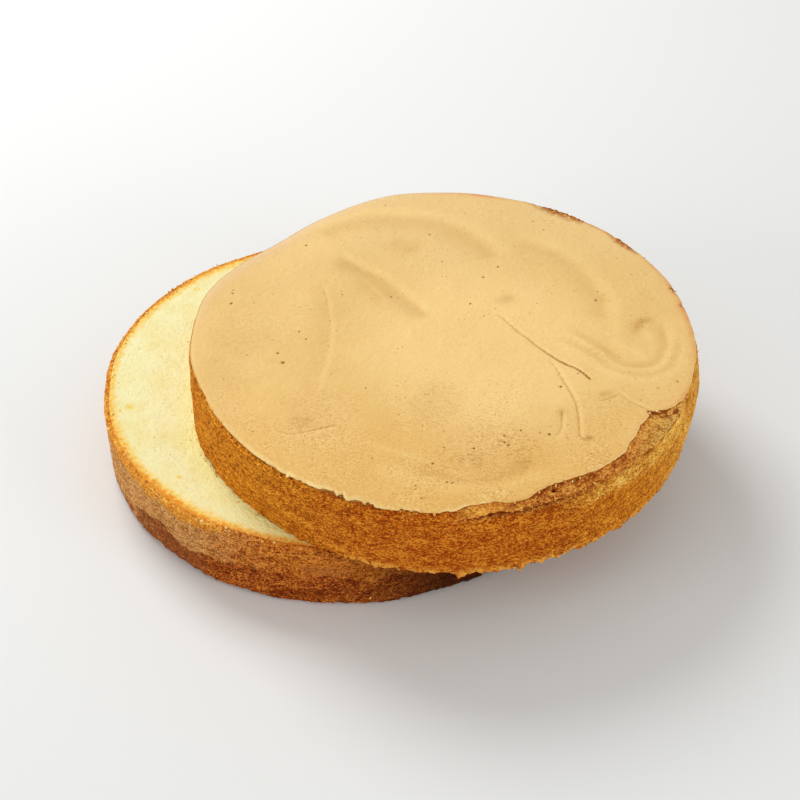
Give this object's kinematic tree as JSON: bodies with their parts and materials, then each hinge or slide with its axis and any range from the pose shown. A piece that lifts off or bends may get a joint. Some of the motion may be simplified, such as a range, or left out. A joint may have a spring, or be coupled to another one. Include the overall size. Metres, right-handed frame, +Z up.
{
  "type": "round sponge cake split into layers",
  "caption": "Round baked sponge cake cut level into layers, with the skinned upper layer pushed sideways over the pale cut face of the lower one.",
  "frame": {"origin": "middle of the lower layer's underside, on the plane it rests on", "axes": "+Z up; +X the way the upper layer was pushed off the lower one; +Y to the left of that push"},
  "size_m": [0.2917, 0.2457, 0.0761],
  "materials": {
    "crumb": "open, matte, pale yellow cut crumb inside a browned crust",
    "skin": "thin matte tan baked skin over a golden brown side crust"
  },
  "bodies": {
    "root": {"lower_layer": "crumb", "upper_layer": "skin"}
  },
  "joints": []
}
